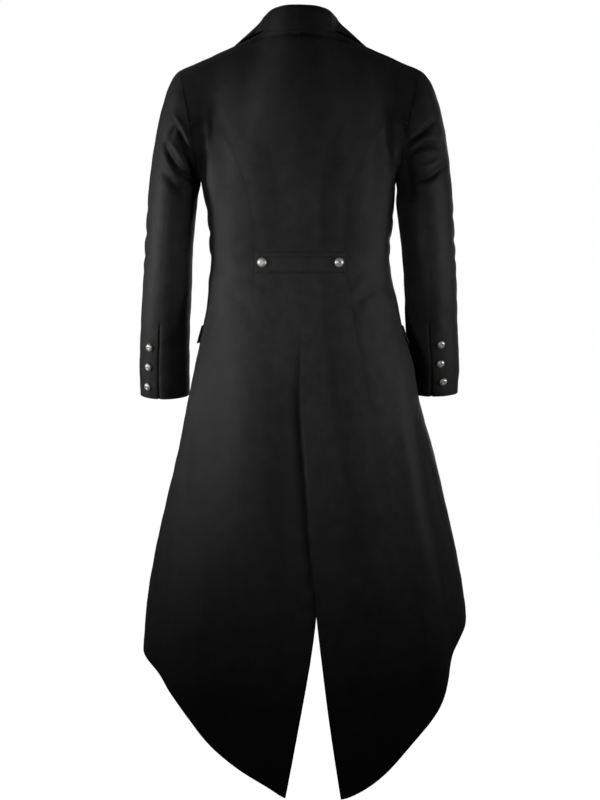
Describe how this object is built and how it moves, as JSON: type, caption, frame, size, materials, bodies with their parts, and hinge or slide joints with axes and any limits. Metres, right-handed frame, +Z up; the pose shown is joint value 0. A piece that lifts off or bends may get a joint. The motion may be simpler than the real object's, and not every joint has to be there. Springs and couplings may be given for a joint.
{
  "type": "tailcoat",
  "caption": "Long tailcoat, filled out as if worn: shaped back with half belt, two pointed tails, cutaway front, turned-down collar and button cuffs.",
  "frame": {"origin": "middle of the neck opening, level with the tops of the shoulders, where the wearer holds the coat up", "axes": "+Z up, +Y towards the back of the coat, +X towards the wearer's left"},
  "size_m": [0.6233, 0.3324, 1.4588],
  "materials": {
    "cloth": "black twill with a soft sheen",
    "buttons": "silver-coloured metal, softly polished"
  },
  "bodies": {
    "root": {"back_left": "cloth", "back_skirt_left": "cloth", "back_right": "cloth", "side_left": "cloth", "side_right": "cloth", "front_left": "cloth", "front_right": "cloth", "front_skirt_left": "cloth", "front_skirt_right": "cloth", "lapel_left": "cloth", "lapel_right": "cloth", "collar": "cloth", "top_sleeve_left": "cloth", "top_sleeve_right": "cloth", "under_sleeve_left": "cloth", "under_sleeve_right": "cloth", "flap_left": "cloth", "flap_right": "cloth", "back_belt": "cloth", "belt_button_left": "buttons", "belt_button_right": "buttons", "cuff_button_left_1": "buttons", "cuff_button_left_2": "buttons", "cuff_button_left_3": "buttons", "cuff_button_right_1": "buttons", "cuff_button_right_2": "buttons", "cuff_button_right_3": "buttons", "front_button_1": "buttons", "front_button_2": "buttons", "front_button_3": "buttons"}
  },
  "joints": []
}
